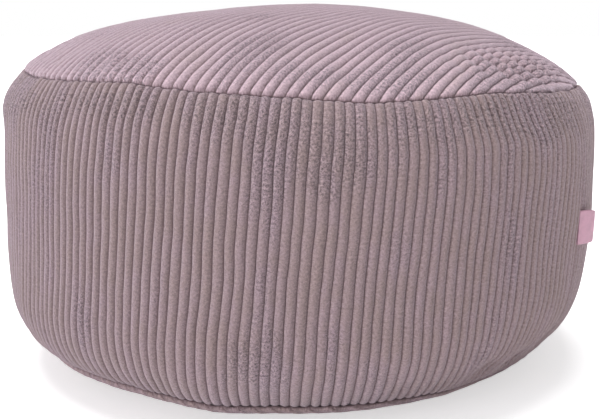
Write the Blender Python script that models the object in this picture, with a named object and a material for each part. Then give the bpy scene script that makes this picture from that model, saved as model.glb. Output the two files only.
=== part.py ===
# A round corduroy bean bag: a low filled drum that stands on its flat base.
# Metres, +Z up, front towards -Y. The origin is the bottom centre of the whole box.
# An azimuth runs from the front (0) towards +X, and a share runs from 0 to 1.

import math
from functools import partial

import bmesh
import bpy
from mathutils import Matrix, Vector

# Driving dimensions
RADIUS = 0.260                # widest radius of the side
TOP_SEAM = 0.2456             # mean height of the seam round the top
BASE_SEAM = 0.0085            # mean height of the seam round the base
CROWN = 0.0560                # rise of the top panel above its seam
GAP = 0.0003                  # clearance between the pieces

# The side: its shoulders are quarter ellipses, each a share of the radius and of the height
BASE_DRAW_IN = 0.196
BASE_SHOULDER = 0.347
TOP_DRAW_IN = 0.0685
TOP_SHOULDER = 0.307
SEAM_RADIUS = RADIUS * (1 - TOP_DRAW_IN)

# How it slumps: the whole leans to the right and the seams are not level
LEAN = 0.024                  # sideways shift for each metre of height
LEAN_PIVOT = 0.130            # height that stays in place
SEAM_TILT_LEFT = 0.0073
SEAM_TILT_FRONT = 0.0032
SEAM_SADDLE = -0.0014
BASE_SEAM_TILT = 0.0042
BASE_WIDER_RIGHT = 0.017      # share by which the foot of the side is wider at the right
BASE_WIDER_FRONT = -0.010
BASE_SKEW = -0.032            # share by which the foot is drawn in at the front right
FOOT_SHARE = 0.5              # height share below which the foot departs from a circle
CROWN_POWER = 3.0
CROWN_TILT_RIGHT = 0.044
CROWN_TILT_BACK = 0.060

# Corduroy wales, one rib and one groove each
SIDE_WALES = 216
WALES_PER_SEGMENT = 3         # the hidden closing faces are this much coarser
SIDE_GROOVE = 0.0017
SIDE_TWIST = math.radians(2.9)
WALE_PITCH = 0.0076
PANEL_GROOVE = 0.0015
BASE_GROOVE = 0.0010
WALE_DIRECTION = math.radians(60)

# Where the side panel is sewn into a tube, and the label in that seam
CLOSING_AZIMUTH = math.radians(58)
CLOSING_GROOVE = 0.0018
LABEL_HEIGHT = 0.134
LABEL_WIDTH = 0.026
LABEL_REACH = 0.0165
LABEL_SWING = math.radians(31)  # how far it stands off the side
LABEL_SUNK = 0.0020           # how deep its root sits in the groove of the seam
LABEL_LAYER = 0.0008
LABEL_FOLD = 0.0011           # outer radius of its fold
LABEL_TAPER = 0.10            # share by which the folded edge is shorter
LABEL_STEPS = 5

# The cloth
TOP_CLOTH = 0.0030
BASE_CLOTH = 0.0024
LAYER_GAP = 0.0005            # upright gap between the top panel and what it covers
BASE_FLAT = 0.90              # share of the base that lies flat
RIM_SHARE = 0.985             # share of the top panel where its rounded rim starts

# Height shares of the side's rows: close together at the drawn-in shoulders
SIDE_ROWS = (0.0, 0.018, 0.05, 0.10, 0.18, 0.36, 0.68, 0.85, 0.93, 0.975, 1.0)
END_GROOVE_SHARE = 0.3        # the ribs are pressed flat where they run into a seam
CROWN_RINGS = (0.985, 0.88, 0.70, 0.45, 0.20)
BASE_TURNS = [math.radians(turn) for turn in (90, 60, 30, 0)]  # from the seam to the floor
TOP_STEPS = 10                # stretches along a rib of the top panel
CAP_POINTS = 4                # points on the arc beyond the last rib of a round panel
SAME_POINT = 0.000001

# Bumps of the top seam. Columns: azimuth, half width in degrees, rise
SEAM_BUMPS = (
    (-60, 11, -0.0024),
    (-30, 10, 0.0026),
    (10, 10, -0.0030),
    (36, 11, 0.0025),
    (100, 18, -0.0018),
    (150, 16, 0.0020),
    (205, 18, -0.0022),
    (255, 16, 0.0016),
)

FOLD_START = 0.03             # height share from a seam at which a fold has its full depth

# Folds pressed into the side. Columns: azimuth, height share, half width in degrees,
# half height as a share, depth
SIDE_FOLDS = (
    (31, 0.055, 5.0, 0.05, 0.0040),
    (44, 0.050, 4.5, 0.05, 0.0036),
    (55, 0.060, 5.0, 0.06, 0.0044),
    (-66, 0.090, 7.0, 0.07, 0.0026),
    (84, 0.120, 9.0, 0.10, 0.0030),
    (132, 0.070, 8.0, 0.07, 0.0030),
    (176, 0.100, 9.0, 0.09, 0.0028),
    (228, 0.080, 8.0, 0.07, 0.0032),
    (40, 0.930, 12.0, 0.07, 0.0022),
    (205, 0.920, 13.0, 0.08, 0.0024),
)

# The wales shear sideways under the top seam. Columns: azimuth, half width in degrees, shift
SHOULDER_SHEARS = (
    (46, 24, 0.0130),
    (-95, 26, -0.0050),
    (170, 30, 0.0060),
)
SHEAR_START = 0.84

SHARP_ANGLE = math.radians(25)  # the grooves between the ribs stay crisp

# Colour and roughness
CORDUROY_SIDE = ((0.355, 0.265, 0.305), 0.95)
CORDUROY_TOP = ((0.400, 0.305, 0.350), 0.95)
CORDUROY_BASE = ((0.330, 0.245, 0.280), 0.95)
SATIN = ((0.600, 0.345, 0.440), 0.45)


def bump(azimuth, centre, half_width):
    """A smooth bump, 1 at its centre, in azimuth."""
    turn = math.radians(centre)
    away = (azimuth - turn + math.pi) % math.tau - math.pi
    return math.exp(-(away / math.radians(half_width)) ** 2)


def top_seam_height(azimuth):
    height = TOP_SEAM
    height -= SEAM_TILT_LEFT * math.sin(azimuth)
    height += SEAM_TILT_FRONT * math.cos(azimuth)
    height += SEAM_SADDLE * math.cos(2 * azimuth)
    for centre, half_width, rise in SEAM_BUMPS:
        height += rise * bump(azimuth, centre, half_width)
    return height


def base_seam_height(azimuth):
    return BASE_SEAM - BASE_SEAM_TILT * math.sin(azimuth)


def foot_shape(azimuth):
    """Share by which the foot of the side departs from a circle."""
    right = BASE_WIDER_RIGHT * math.sin(azimuth)
    front = BASE_WIDER_FRONT * math.cos(azimuth)
    return right + front + BASE_SKEW * math.sin(2 * azimuth)


def drawn_in(share):
    """Share of the radius that the side has at a share of its height."""
    low = max(0.0, 1 - share / BASE_SHOULDER)
    high = max(0.0, (share - 1 + TOP_SHOULDER) / TOP_SHOULDER)
    base = BASE_DRAW_IN * (1 - math.sqrt(1 - low * low))
    top = TOP_DRAW_IN * (1 - math.sqrt(1 - high * high))
    return 1 - base - top


def placed(radius, azimuth, height):
    """The point at a radius, azimuth and height on the leaning drum."""
    lean = LEAN * (height - LEAN_PIVOT)
    return Vector((radius * math.sin(azimuth) + lean, -radius * math.cos(azimuth), height))


def side_point(azimuth, share, sunk):
    """A point of the side panel, sunk below its ribs by a distance."""
    foot = max(0.0, 1 - share / FOOT_SHARE) ** 1.5
    radius = RADIUS * drawn_in(share) * (1 + foot * foot_shape(azimuth)) - sunk
    from_seam = min(1.0, share / FOLD_START, (1 - share) / FOLD_START)
    for centre, middle, half_width, half_height, depth in SIDE_FOLDS:
        upright = from_seam * math.exp(-((share - middle) / half_height) ** 2)
        radius -= depth * upright * bump(azimuth, centre, half_width)
    low = base_seam_height(azimuth)
    height = low + share * (top_seam_height(azimuth) - low)
    return placed(radius, azimuth, height)


def crown_point(share, azimuth, below):
    """A point of the crowned top, a distance below the top panel's ribs."""
    x = share * math.sin(azimuth)
    y = -share * math.cos(azimuth)
    rim = LAYER_GAP + TOP_CLOTH
    seam = top_seam_height(azimuth) - TOP_SEAM
    tilt = 1 + CROWN_TILT_RIGHT * x + CROWN_TILT_BACK * y
    rise = CROWN * (1 - share ** CROWN_POWER) * tilt
    height = TOP_SEAM + rim + seam * share ** 1.5 + rise - below
    point = placed(share * SEAM_RADIUS, azimuth, TOP_SEAM)
    return Vector((point.x, point.y, height))


def base_point(turn, azimuth, inside):
    """A point of the base panel's rim, a distance inside its outer face.

    The turn runs from 0, where the rim meets the floor, to a quarter turn at the seam.
    """
    edge = RADIUS * (1 - BASE_DRAW_IN) * (1 + foot_shape(azimuth))
    wide = edge * (1 - BASE_FLAT)
    tall = base_seam_height(azimuth) - GAP
    radius = edge - wide + (wide - inside) * math.sin(turn)
    height = inside + (tall - inside) * (1 - math.cos(turn))
    point = placed(radius, azimuth, 0.0)
    return Vector((point.x, point.y, height))


def flat_base_point(share, azimuth):
    """A point of the part of the base that lies on the floor."""
    edge = RADIUS * (1 - BASE_DRAW_IN) * (1 + foot_shape(azimuth))
    return placed(share * edge, azimuth, 0.0)


def add_ring(mesh, count, point):
    """A circle with its vertices at the given points. Returns pairs of turn share and vertex."""
    circle = bmesh.ops.create_circle(mesh, segments=count, radius=RADIUS)
    ring = []
    for index, vertex in enumerate(circle["verts"]):
        vertex.co = point(math.tau * index / count)
        ring.append((index / count, vertex))
    return ring


def join_rings(mesh, first, second):
    """Triangles between two closed rings, which may differ in their number of points."""
    done_first = 0
    done_second = 0
    while done_first < len(first) or done_second < len(second):
        here = first[done_first % len(first)][1]
        there = second[done_second % len(second)][1]
        next_first = done_first + 1
        next_second = done_second + 1
        turn_first = first[next_first % len(first)][0] + next_first // len(first)
        turn_second = second[next_second % len(second)][0] + next_second // len(second)
        ended = done_second == len(second)
        if ended or (done_first < len(first) and turn_first <= turn_second):
            mesh.faces.new((here, first[next_first % len(first)][1], there))
            done_first = next_first
        else:
            mesh.faces.new((here, second[next_second % len(second)][1], there))
            done_second = next_second


def close_over(mesh, ring, circles):
    """Closes a ring with a row of smaller circles, each a point function, and a last face."""
    for circle in circles:
        inner = add_ring(mesh, SIDE_WALES // WALES_PER_SEGMENT, circle)
        join_rings(mesh, ring, inner)
        ring = inner
    mesh.faces.new([vertex for _, vertex in ring])


def ribbed_disc(mesh, radius, places, point):
    """A round panel whose ribs run one way across it. Returns its rim as a ring.

    A grid is fitted to the round, a column on every rib and in every groove.
    The places function gives the positions along a rib at a distance across.
    The point function takes a share of the radius, an azimuth and whether the
    place lies in a groove.
    """
    wales = round(2 * radius / WALE_PITCH)
    columns = 2 * wales - 2
    steps = len(places(0.0)) - 1
    rim = {}

    def place(vertex, across, along, in_groove):
        share = min(1.0, math.hypot(across, along))
        x = along * math.cos(WALE_DIRECTION) - across * math.sin(WALE_DIRECTION)
        y = along * math.sin(WALE_DIRECTION) + across * math.cos(WALE_DIRECTION)
        azimuth = math.atan2(x, -y) % math.tau
        vertex.co = point(share, azimuth, in_groove)
        return azimuth / math.tau

    grid = bmesh.ops.create_grid(mesh, x_segments=columns, y_segments=steps, size=0.5)
    ends = {0: {}, columns: {}}
    for vertex in grid["verts"]:
        column = round((vertex.co.x + 0.5) * columns)
        row = round((vertex.co.y + 0.5) * steps)
        across = (column + 1) / wales - 1
        turn = place(vertex, across, places(across)[row], column % 2 == 1)
        if row in (0, steps):
            rim[turn] = vertex
        if column in ends:
            ends[column][row] = vertex

    half_angle = math.acos(1 - 1 / wales)
    for column, side in ((0, -1), (columns, 1)):
        edge = [ends[column][row] for row in range(steps + 1)]
        for step in range(CAP_POINTS, 0, -1):
            angle = half_angle * (2 * step / (CAP_POINTS + 1) - 1)
            vertex = mesh.verts.new()
            rim[place(vertex, side * math.cos(angle), math.sin(angle), False)] = vertex
            edge.append(vertex)
        mesh.faces.new(edge)
    bmesh.ops.remove_doubles(mesh, verts=mesh.verts, dist=SAME_POINT)
    return sorted(rim.items(), key=lambda pair: pair[0])


def new_material(name, colour, roughness):
    material = bpy.data.materials.new(name)
    material.use_nodes = True
    shader = material.node_tree.nodes["Principled BSDF"]
    shader.inputs["Base Color"].default_value = (*colour, 1.0)
    shader.inputs["Roughness"].default_value = roughness
    shader.inputs["Metallic"].default_value = 0.0
    material.diffuse_color = (*colour, 1.0)
    return material


def new_piece(name, mesh, finish):
    """Turns a closed mesh into a named object with its own material."""
    bmesh.ops.recalc_face_normals(mesh, faces=mesh.faces)
    data = bpy.data.meshes.new(name)
    mesh.to_mesh(data)
    mesh.free()
    data.shade_smooth()
    data.set_sharp_from_angle(angle=SHARP_ANGLE)
    data.materials.append(new_material(name + "_cloth", *finish))
    piece = bpy.data.objects.new(name, data)
    bpy.context.scene.collection.objects.link(piece)
    return piece


def wale_shift(azimuth, share):
    """How far a wale has moved round the side at a share of its height."""
    shift = SIDE_TWIST * (share - 0.5)
    rise = max(0.0, (share - SHEAR_START) / (1 - SHEAR_START))
    for centre, half_width, arc in SHOULDER_SHEARS:
        shift -= arc / RADIUS * rise * bump(azimuth, centre, half_width)
    return shift


def ribbed_wall(mesh):
    """The side: a grid rolled into a tube, a column on every rib and in every groove.

    Returns its lowest and its highest row as rings.
    """
    columns = 2 * SIDE_WALES
    steps = len(SIDE_ROWS) - 1
    closing = 2 * round(CLOSING_AZIMUTH / math.tau * SIDE_WALES) + 1
    ends = {0: {}, steps: {}}
    left = {}
    right = {}
    grid = bmesh.ops.create_grid(mesh, x_segments=columns, y_segments=steps, size=0.5)
    for vertex in grid["verts"]:
        column = round((vertex.co.x + 0.5) * columns)
        row = round((vertex.co.y + 0.5) * steps)
        share = SIDE_ROWS[row]
        azimuth = math.tau * column / columns
        azimuth += wale_shift(azimuth, share)
        sunk = 0.0
        if column % 2:
            sunk = SIDE_GROOVE
        if column == closing:
            sunk += CLOSING_GROOVE
        if row in ends:
            sunk *= END_GROOVE_SHARE
        vertex.co = side_point(azimuth, share, sunk)
        if column == 0:
            left[row] = vertex
        if column == columns:
            right[row] = vertex
        elif row in ends:
            ends[row][azimuth % math.tau / math.tau] = vertex
    bmesh.ops.weld_verts(mesh, targetmap={right[row]: left[row] for row in left})
    return [sorted(ends[row].items(), key=lambda pair: pair[0]) for row in (0, steps)]


def under_point(turn, azimuth):
    """A point of the body just inside the base panel."""
    point = base_point(turn, azimuth, BASE_CLOTH)
    inward = Vector((-math.sin(azimuth), math.cos(azimuth), 0.0))
    return point + GAP * inward + Vector((0.0, 0.0, GAP))


def make_side_panel():
    """The filled body, with the ribbed side panel as its wall."""
    mesh = bmesh.new()
    lowest, highest = ribbed_wall(mesh)
    below = TOP_CLOTH + LAYER_GAP
    crown = [partial(crown_point, share, below=below) for share in CROWN_RINGS]
    close_over(mesh, highest, crown)
    close_over(mesh, lowest, [partial(under_point, turn) for turn in BASE_TURNS])
    return new_piece("side_panel", mesh, CORDUROY_SIDE)


def make_top_panel():
    """The crowned round panel, a sheet with ribs running from front left to back right."""
    mesh = bmesh.new()

    def places(across):
        half = math.sqrt(1 - across * across)
        steps = range(TOP_STEPS + 1)
        return [half * math.sin(math.pi * (step / TOP_STEPS - 0.5)) for step in steps]

    def outer(share, azimuth, in_groove):
        pressed = min(1.0, (1 - share) / (1 - RIM_SHARE))
        return crown_point(share * RIM_SHARE, azimuth, PANEL_GROOVE * pressed * in_groove)

    rim = ribbed_disc(mesh, SEAM_RADIUS, places, outer)
    shares = (1.0, *CROWN_RINGS)
    close_over(mesh, rim, [partial(crown_point, share, below=TOP_CLOTH) for share in shares])
    return new_piece("top_panel", mesh, CORDUROY_TOP)


def make_base_panel():
    """The round base panel, flat on the floor and turned up at its rim."""
    mesh = bmesh.new()
    levels = [BASE_FLAT + (1 - BASE_FLAT) * math.sin(turn) for turn in BASE_TURNS]

    def places(across):
        reach = [math.sqrt(max(0.0, level ** 2 - across ** 2)) for level in levels]
        return [-place for place in reach] + reach[::-1]

    def outer(share, azimuth, in_groove):
        if share <= BASE_FLAT:
            return flat_base_point(share, azimuth)
        turn = math.asin(min(1.0, (share - BASE_FLAT) / (1 - BASE_FLAT)))
        return base_point(turn, azimuth, BASE_GROOVE * math.sin(turn) * in_groove)

    rim = ribbed_disc(mesh, RADIUS * (1 - BASE_DRAW_IN), places, outer)
    close_over(mesh, rim, [partial(base_point, turn, inside=BASE_CLOTH) for turn in BASE_TURNS])
    return new_piece("base_panel", mesh, CORDUROY_BASE)


def label_section():
    """The folded label seen from above, as pairs of reach and side step."""
    straight = LABEL_REACH - LABEL_FOLD
    outline = []
    for radius, way in ((LABEL_FOLD, 1), (LABEL_FOLD - LABEL_LAYER, -1)):
        edge = [(0.0, -radius)]
        for step in range(LABEL_STEPS + 1):
            angle = math.pi * (step / LABEL_STEPS - 0.5)
            edge.append((straight + radius * math.cos(angle), radius * math.sin(angle)))
        edge.append((0.0, radius))
        outline += edge[::way]
    return outline


def closing_azimuth(share):
    """Azimuth of the closing seam at a share of the side's height."""
    column = round(CLOSING_AZIMUTH / math.tau * SIDE_WALES) + 0.5
    azimuth = math.tau * column / SIDE_WALES
    return azimuth + wale_shift(azimuth, share)


def make_label():
    """The folded satin label, held by the closing seam of the side panel."""
    low = base_seam_height(CLOSING_AZIMUTH)
    tall = top_seam_height(CLOSING_AZIMUTH) - low
    share = (LABEL_HEIGHT - low) / tall
    above = share + LABEL_WIDTH / tall
    azimuth = closing_azimuth(share)
    root = side_point(azimuth, share, 0.0)
    upward = (side_point(closing_azimuth(above), above, 0.0) - root).normalized()
    outward = Vector((math.sin(azimuth), -math.cos(azimuth), 0.0))
    round_side = Vector((math.cos(azimuth), math.sin(azimuth), 0.0))
    reach = round_side * math.cos(LABEL_SWING) + outward * math.sin(LABEL_SWING)
    across = outward * math.cos(LABEL_SWING) - round_side * math.sin(LABEL_SWING)
    root += outward * (LABEL_FOLD * math.cos(LABEL_SWING) + 2 * GAP - LABEL_SUNK)

    mesh = bmesh.new()
    section = [mesh.verts.new((along, step, -LABEL_WIDTH / 2)) for along, step in label_section()]
    face = mesh.faces.new(section)
    raised = bmesh.ops.extrude_face_region(mesh, geom=[face])["geom"]
    raised = [item for item in raised if isinstance(item, bmesh.types.BMVert)]
    bmesh.ops.translate(mesh, verts=raised, vec=(0.0, 0.0, LABEL_WIDTH))
    for vertex in mesh.verts:
        vertex.co.z *= 1 - LABEL_TAPER * (vertex.co.x / LABEL_REACH) ** 4
    frame = Matrix((reach, across, upward)).transposed().to_4x4()
    frame.translation = root
    bmesh.ops.transform(mesh, matrix=frame, verts=mesh.verts)
    return new_piece("side_label", mesh, SATIN)


def stand_on_origin(pieces):
    """Moves the pieces so that the bottom centre of their common box is the origin."""
    points = [vertex.co for piece in pieces for vertex in piece.data.vertices]
    low_x, high_x = min(p.x for p in points), max(p.x for p in points)
    low_y, high_y = min(p.y for p in points), max(p.y for p in points)
    for piece in pieces:
        piece.location = (-(low_x + high_x) / 2, -(low_y + high_y) / 2, 0.0)


def main():
    for leftover in list(bpy.data.objects):
        bpy.data.objects.remove(leftover)
    pieces = [make_side_panel(), make_top_panel(), make_base_panel(), make_label()]
    stand_on_origin(pieces)


main()
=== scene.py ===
# A round corduroy bean bag: its cloth, seams and label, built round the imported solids.
# Metres, +Z up, front towards -Y. An azimuth runs from the front (0) towards +X.
import math

import bmesh
import bpy
import numpy as np
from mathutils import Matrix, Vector, noise
from mathutils.kdtree import KDTree


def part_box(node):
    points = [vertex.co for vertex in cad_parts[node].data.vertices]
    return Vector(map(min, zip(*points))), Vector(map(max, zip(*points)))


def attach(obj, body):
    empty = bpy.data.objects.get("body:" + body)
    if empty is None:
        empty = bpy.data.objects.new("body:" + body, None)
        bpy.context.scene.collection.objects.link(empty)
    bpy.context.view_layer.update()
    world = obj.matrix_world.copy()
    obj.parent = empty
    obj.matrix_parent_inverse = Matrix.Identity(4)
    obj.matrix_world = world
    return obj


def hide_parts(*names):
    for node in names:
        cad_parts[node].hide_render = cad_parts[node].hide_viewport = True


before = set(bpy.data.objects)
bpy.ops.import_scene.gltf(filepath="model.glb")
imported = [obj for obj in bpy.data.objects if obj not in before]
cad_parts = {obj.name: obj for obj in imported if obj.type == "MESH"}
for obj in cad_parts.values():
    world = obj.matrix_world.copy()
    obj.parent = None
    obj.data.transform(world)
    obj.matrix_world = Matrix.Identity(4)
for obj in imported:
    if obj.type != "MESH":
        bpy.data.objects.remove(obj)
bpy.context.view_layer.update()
turn = 2 * math.pi

# The body that all the pieces share, as its maker would measure it
bag = {
    "shift": (-0.00037, -0.00021),      # from the middle of the drum to the middle of its box
    "radius": 0.260,
    "topSeam": 0.2456,                  # heights of the two seams
    "baseSeam": 0.0205,
    "crown": 0.0542,                    # how far the top rises over its seam
    "baseDrawIn": 0.119,                # shares of the radius, and of the height that they take
    "baseShoulder": 0.28,
    "baseShoulderRight": 0.033,         # the shoulder reaches higher at the right
    "baseCut": 0.90,                    # below 1 the side is still steep where it meets the base seam
    "topDrawIn": 0.0685,
    "topShoulder": 0.307,
    "shoulderCut": 0.96,                # below 1 the shoulder still slopes where it meets the seam
    "lean": 0.024,                      # sideways for each metre over or under the pivot
    "leanPivot": 0.130,
    "seamTiltLeft": 0.0073,             # rises of the top seam at the left, the front and both sides
    "seamTiltFront": 0.0032,
    "seamSaddle": -0.0014,
    "baseSeamTilt": 0.0028,             # fall of the base seam towards the right
    "baseSeamStep": 0.0010,             # its unevenness, and how long the steps are
    "baseSeamStepSize": 0.011,
    # bumps of the base seam: azimuth, half width in degrees, rise
    "baseSeamBumps": ((48, 20, -0.0042), (-40, 14, 0.0008)),
    "footShare": 0.35,                  # share of the height that the foot's shape reaches up
    "footFade": 1.5,
    # bulges and dents of the foot: azimuth, half width in degrees, share of the radius
    "footBumps": (
        (-52, 15, 0.020), (-15, 9, 0.026), (20, 10, -0.006), (46, 20, -0.052),
        (110, 20, -0.010), (200, 24, 0.010), (255, 18, -0.008),
    ),
    "crownPower": 3.0,                  # the higher, the flatter its middle
    "crownTiltRight": 0.044,
    "crownTiltBack": 0.060,
    # lumps of the beads under the top: x, y, radius, rise
    "crownLumps": (
        (-0.115, -0.010, 0.055, -0.0036), (0.005, 0.020, 0.075, 0.0030),
        (-0.170, -0.020, 0.050, -0.0012), (-0.075, 0.015, 0.045, -0.0013),
        (0.200, -0.030, 0.035, -0.0010),
    ),
    "lumpFade": 6,                      # powers with which lumps and seam bumps end on the top
    "seamFade": 1.5,
    "cloth": 0.0048,                    # height of the top panel's ribs over the seam
    "settle": 0.0042,                   # how far the top panel comes down to meet its seam
    "settleLength": 0.0075,
    "seamStep": 0.0010,                 # the ends of the ribs make small steps in the seam
    "seamStepSize": 0.008,
    "seamStepLength": 0.006,            # and fade out over this length
    # bumps of the top seam: azimuth, half width in degrees, rise
    "seamBumps": (
        (-60, 11, -0.0024), (-30, 10, 0.0026), (10, 10, -0.0030), (36, 11, 0.0025),
        (-78, 10, -0.0016), (100, 18, -0.0018), (150, 16, 0.0020), (205, 18, -0.0022),
        (255, 16, 0.0016),
    ),
    "closing": math.radians(35.5 / 216 * 360),  # the closing seam, 35.5 of 216 wales round
}
bag["sideHeight"] = bag["topSeam"] - bag["baseSeam"]
bag["seamRadius"] = bag["radius"] * (1 - bag["topDrawIn"])
bag["baseRadius"] = bag["radius"] * (1 - bag["baseDrawIn"])


def bump(azimuth, centre, halfWidth):
    away = (azimuth - math.radians(centre) + math.pi) % turn - math.pi
    return np.exp(-(away / math.radians(halfWidth)) ** 2)


def ease(value):
    value = np.clip(value, 0.0, 1.0)
    return value * value * (3 - 2 * value)


driftStep = (3.71, 1.93, 5.27)          # how far apart two seeds lie in the noise


def drift(points, size, seed):
    # a smooth unevenness of about -1 to 1, with lumps of the given size
    offset = Vector([seed * step for step in driftStep])
    flat = np.asarray(points).reshape(-1, 3) / size
    values = [noise.noise(Vector(point) + offset) for point in flat.tolist()]
    return np.array(values).reshape(np.asarray(points).shape[:-1])


def drifts(points, lumps, seed, smallSeed):
    # large lumps with small ones among them: both sizes, and the share of the small ones
    size, smallSize, smallShare = lumps
    return drift(points, size, seed) + smallShare * drift(points, smallSize, smallSeed)


def patchy(points, patches, seed):
    # a share that differs from place to place: its middle, the most up or down, patch size
    middle, most, size = patches
    return middle + most * drift(points, size, seed)


def topSeamHeight(azimuth):
    height = bag["topSeam"] - bag["seamTiltLeft"] * np.sin(azimuth)
    height = height + bag["seamTiltFront"] * np.cos(azimuth)
    height = height + bag["seamSaddle"] * np.cos(2 * azimuth)
    for centre, halfWidth, rise in bag["seamBumps"]:
        height = height + rise * bump(azimuth, centre, halfWidth)
    return height


seamPoints = 1441                       # one each quarter of a degree
seamAngles = np.linspace(-math.pi, math.pi, seamPoints)
seamCircle = np.stack((np.sin(seamAngles), -np.cos(seamAngles), np.zeros(seamPoints)), axis=-1)
seamCircle = seamCircle * bag["radius"]
seamSteps = bag["seamStep"] * drift(seamCircle, bag["seamStepSize"], 9)
baseSteps = bag["baseSeamStep"] * drift(seamCircle, bag["baseSeamStepSize"], 10)


def stepAt(azimuth, steps):
    return np.interp((azimuth + math.pi) % turn - math.pi, seamAngles, steps)


def seamStep(azimuth, away):
    # the small steps of the top seam, which fade over a few millimetres
    return stepAt(azimuth, seamSteps) * np.exp(-(away / bag["seamStepLength"]) ** 2)


def baseSeamHeight(azimuth):
    height = bag["baseSeam"] - bag["baseSeamTilt"] * np.sin(azimuth) + stepAt(azimuth, baseSteps)
    for centre, halfWidth, rise in bag["baseSeamBumps"]:
        height = height + rise * bump(azimuth, centre, halfWidth)
    return height


def footShape(azimuth):
    shape = 0.0
    for centre, halfWidth, share in bag["footBumps"]:
        shape = shape + share * bump(azimuth, centre, halfWidth)
    return shape


def placed(radius, azimuth, height, leanAt=None):
    lean = bag["lean"] * ((height if leanAt is None else leanAt) - bag["leanPivot"])
    x = radius * np.sin(azimuth) + lean + bag["shift"][0]
    y = -radius * np.cos(azimuth) + bag["shift"][1]
    return np.stack(np.broadcast_arrays(x, y, height), axis=-1)


def cutEllipse(reach, cut):
    # 0 to 1 along a quarter ellipse that is cut off before its end
    return (1 - np.sqrt(1 - (cut * reach) ** 2)) / (1 - math.sqrt(1 - cut * cut))


def sideSpot(azimuth, share):
    # a place on the smooth side, from its base seam (0) to its top seam (1)
    shoulder = bag["baseShoulder"] + bag["baseShoulderRight"] * np.sin(azimuth)
    low = np.clip(1 - share / shoulder, 0, 1)
    high = np.clip((share - 1 + bag["topShoulder"]) / bag["topShoulder"], 0, 1)
    drawn = bag["baseDrawIn"] * cutEllipse(low, bag["baseCut"])
    drawn = drawn + bag["topDrawIn"] * cutEllipse(high, bag["shoulderCut"])
    foot = np.clip(1 - share / bag["footShare"], 0, 1) ** bag["footFade"]
    radius = bag["radius"] * (1 - drawn) * (1 + foot * footShape(azimuth))
    base = baseSeamHeight(azimuth)
    height = base + share * (topSeamHeight(azimuth) - base)
    return placed(radius, azimuth, height + seamStep(azimuth, (1 - share) * bag["sideHeight"]))


def crownSpot(share, azimuth, below=0.0):
    # a place on the crowned top, from its middle (0) to its seam (1)
    x = share * np.sin(azimuth)
    y = -share * np.cos(azimuth)
    tilt = 1 + bag["crownTiltRight"] * x + bag["crownTiltBack"] * y
    rise = bag["crown"] * (1 - share ** bag["crownPower"]) * tilt
    for lumpX, lumpY, radius, lump in bag["crownLumps"]:
        away = np.hypot(x * bag["seamRadius"] - lumpX, y * bag["seamRadius"] - lumpY)
        rise = rise + lump * np.exp(-(away / radius) ** 2) * (1 - share ** bag["lumpFade"])
    seam = (topSeamHeight(azimuth) - bag["topSeam"]) * share ** bag["seamFade"]
    away = (1 - share) * bag["seamRadius"]
    settle = bag["settle"] * np.exp(-away / bag["settleLength"])
    height = bag["topSeam"] + bag["cloth"] + seam + rise - settle - below + seamStep(azimuth, away)
    return placed(share * bag["seamRadius"], azimuth, height, leanAt=bag["topSeam"])


def baseSpot(share, azimuth, inside=0.0):
    # a place on the base: flat on the floor, and curving up to its seam
    flat = basePanel["flatShare"]
    edge = bag["baseRadius"] * (1 + footShape(azimuth))
    wide = edge * (1 - flat)
    tall = baseSeamHeight(azimuth) - basePanel["seamGap"]
    side = np.clip((share - flat) / (1 - flat), 0, 1)
    up = 1 - np.sqrt(1 - side * side)
    radius = np.where(share < flat, share * edge, edge - wide + (wide - inside) * side)
    return placed(radius, azimuth, inside + (tall - inside) * up, leanAt=bag["baseSeam"])


ribShape = {"flatness": 2.1, "fullness": 0.56}


def ribProfile(across):
    # across one rib: 0 in the grooves at both sides, 1 on its rounded crest
    return (1 - np.abs(2 * across - 1) ** ribShape["flatness"]) ** ribShape["fullness"]


def rounded(distance, length):
    # a quarter circle: 0 where the rib runs into a seam, 1 from that length on
    near = np.clip(distance / length, 0, 1)
    return np.sqrt(1 - (1 - near) ** 2)


def outwardNormals(places, closed):
    # unit normals of a grid of places, rows first
    if closed:
        around = np.roll(places, -1, axis=1) - np.roll(places, 1, axis=1)
    else:
        around = np.gradient(places, axis=1)
    along = np.gradient(places, axis=0)
    normals = np.cross(around, along)
    length = np.linalg.norm(normals, axis=-1, keepdims=True)
    return normals / np.maximum(length, 1e-12)


def ribEdges(count, jitter, seed):
    # where each rib starts, in ribs, when no two are quite as wide
    widths = 1 + jitter * np.clip(np.random.default_rng(seed).standard_normal(count), -2, 2)
    edges = np.concatenate(((0.0,), np.cumsum(widths)))
    return edges / edges[-1] * count


def patchAmount(patches, azimuth, share):
    # how far the pile is ruffled: azimuth, share, half width in degrees, half share, amount
    amount = np.zeros(np.broadcast(azimuth, share).shape)
    for centre, middle, halfWidth, halfShare, most in patches:
        upright = np.exp(-((share - middle) / halfShare) ** 2)
        amount = amount + most * bump(azimuth, centre, halfWidth) * upright
    return amount


def newObject(name, data):
    piece = bpy.data.objects.new(name, data)
    bpy.context.scene.collection.objects.link(piece)
    return piece


def fromMesh(name, mesh):
    data = bpy.data.meshes.new(name)
    mesh.to_mesh(data)
    mesh.free()
    return newObject(name, data)


def layGrid(mesh, places, rib, ruffled, count, along):
    # a grid over the places: its UV map counts ribs, and attributes hold their height and pile
    rows = len(places) - 1
    columns = len(places[0]) - 1
    uvLayer = mesh.loops.layers.uv.new("wales")
    ribLayer = mesh.verts.layers.float.new("ribHeight")
    ruffleLayer = mesh.verts.layers.float.new("ruffled")
    grid = bmesh.ops.create_grid(mesh, x_segments=columns, y_segments=rows, size=0.5)
    laid = {}
    for vertex in grid["verts"]:
        column = round((vertex.co.x + 0.5) * columns)
        row = round((vertex.co.y + 0.5) * rows)
        for loop in vertex.link_loops:
            loop[uvLayer].uv = (count[column], along[row, column])
        vertex[ribLayer] = rib[row, column]
        vertex[ruffleLayer] = ruffled[row, column]
        vertex.co = places[row, column]
        laid[row, column] = vertex
    return laid


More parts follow.
